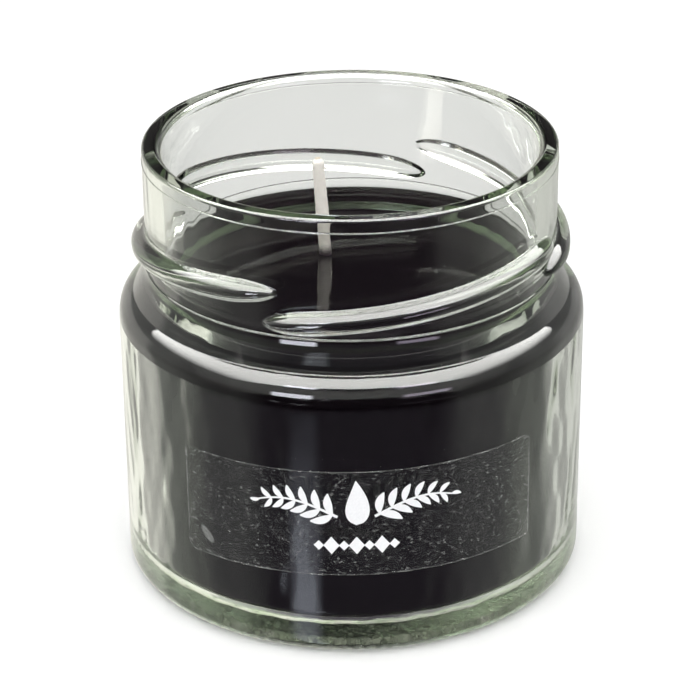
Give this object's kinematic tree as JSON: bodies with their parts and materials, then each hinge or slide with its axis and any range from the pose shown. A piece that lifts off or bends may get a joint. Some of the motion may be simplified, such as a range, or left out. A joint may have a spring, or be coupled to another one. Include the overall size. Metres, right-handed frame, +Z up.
{
  "type": "jar candle",
  "caption": "Round clear glass twist-off jar, short neck with thread lugs, filled with black wax around an upright wick, clear label on the wall; no lid.",
  "frame": {"origin": "centre of the jar's bearing ring, on the surface it stands on", "axes": "+Z up along the jar's axis towards the mouth, -Y towards the side with the label, +X to the right when the label is faced"},
  "size_m": [0.071, 0.0711, 0.068],
  "materials": {
    "jar_glass": "clear soda-lime glass with a green cast, greener in the thick base, fire polished",
    "black_wax": "black paraffin wax, smooth against the glass, satin on the free top surface",
    "wick_cotton": "braided cotton dipped in wax, off-white",
    "wick_paper": "twisted paper cord",
    "tinplate": "bright tinplate, pressed",
    "pad_foam": "white double-sided adhesive foam",
    "label_film": "clear polypropylene film with a slightly milky adhesive",
    "label_ink": "white screen-printed ink"
  },
  "bodies": {
    "root": {"glass_jar": "jar_glass", "wax_fill": "black_wax", "wick_braid": "wick_cotton", "wick_core": "wick_paper", "wick_sustainer": "tinplate", "sustainer_pad": "pad_foam", "front_label": "label_film"}
  },
  "joints": []
}
